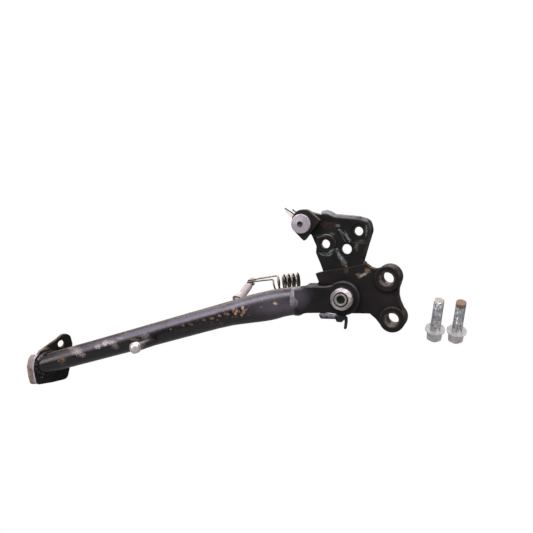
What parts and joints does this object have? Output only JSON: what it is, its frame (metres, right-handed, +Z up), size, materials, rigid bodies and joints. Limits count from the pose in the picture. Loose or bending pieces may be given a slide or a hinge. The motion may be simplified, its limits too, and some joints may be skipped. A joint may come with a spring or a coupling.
{
  "type": "motorcycle kickstand",
  "caption": "Motorcycle side stand: folding tube leg with pressed foot and kick peg, clevis pivot, return springs and a forged mounting bracket with an upper plate.",
  "frame": {"origin": "centre of the upper mounting bore, halfway along its wall", "axes": "+Y along the pivot and mounting bores towards the machine, +X from the pivot towards the mounting bosses, +Z up towards the upper plate; the leg runs towards -X"},
  "size_m": [0.4411, 0.1106, 0.1869],
  "materials": {
    "bracket_paint": "worn satin black paint",
    "plate_paint": "worn satin black paint",
    "bead_paint": "painted weld, rust spots",
    "tab_paint": "satin black paint",
    "disc_zinc": "matte zinc plate",
    "nut_zinc": "dull zinc plate",
    "strip_plastic": "matte",
    "spring_wire": "aged oil-tempered wire",
    "post_steel": "bare worn steel",
    "bolt_zinc": "zinc plate, dirt in the thread",
    "leg_paint": "worn satin black paint with chips",
    "fork_paint": "worn satin black paint",
    "leg_bead": "painted weld",
    "foot_paint": "black paint, bare worn rim",
    "foot_bead": "painted weld with bright ripples",
    "peg_steel": "black shank, polished tip",
    "pivot_zinc": "dull steel",
    "nut_bright": "bright zinc plate",
    "washer_black": "black",
    "striker_paint": "satin black paint",
    "rivet_steel": "dull steel",
    "bush_steel": "oiled steel"
  },
  "bodies": {
    "bracket": {"bracket_body": "bracket_paint", "pivot_bushing": "bush_steel", "upper_plate": "plate_paint", "plate_weld_right": "bead_paint", "plate_weld_rear": "bead_paint", "guide_tab": "tab_paint", "guide_bolt": "disc_zinc", "guide_nut": "nut_zinc", "guide_washer": "nut_zinc", "wire_clip": "spring_wire", "clip_strip": "strip_plastic", "bracket_spring_post": "post_steel", "mounting_bolts": "bolt_zinc"},
    "leg": {"leg_tube": "leg_paint", "leg_fork": "fork_paint", "fork_weld": "leg_bead", "foot_plate": "foot_paint", "foot_weld": "foot_bead", "kick_peg": "peg_steel", "leg_spring_post": "post_steel", "post_weld": "leg_bead", "pivot_bolt": "pivot_zinc", "pivot_nut": "nut_bright", "washer_front": "washer_black", "washer_rear": "washer_black", "striker_tab": "striker_paint", "striker_leaf": "striker_paint", "striker_rivets": "rivet_steel"},
    "springs": {"outer_spring": "spring_wire", "inner_spring": "spring_wire"}
  },
  "joints": [
    {"name": "leg_pivot", "type": "hinge", "parent": "bracket", "child": "leg", "pos_m": [-0.0402, -0.0045, -0.019], "axis": [0, -1, 0], "range_deg": [0, 100], "stiffness_Nm_per_rad": 0.8, "springref_deg": -114.59, "deforming": ["outer_spring", "inner_spring"]},
    {"name": "spring_swing", "type": "hinge", "parent": "bracket", "child": "springs", "pos_m": [-0.02613, 0.021, -0.00409], "axis": [0, -1, 0], "range_deg": [0, 84.5]}
  ],
  "couplings": [
    {"joint": "spring_swing", "follows": "leg_pivot", "ratio": 0.8414}
  ]
}
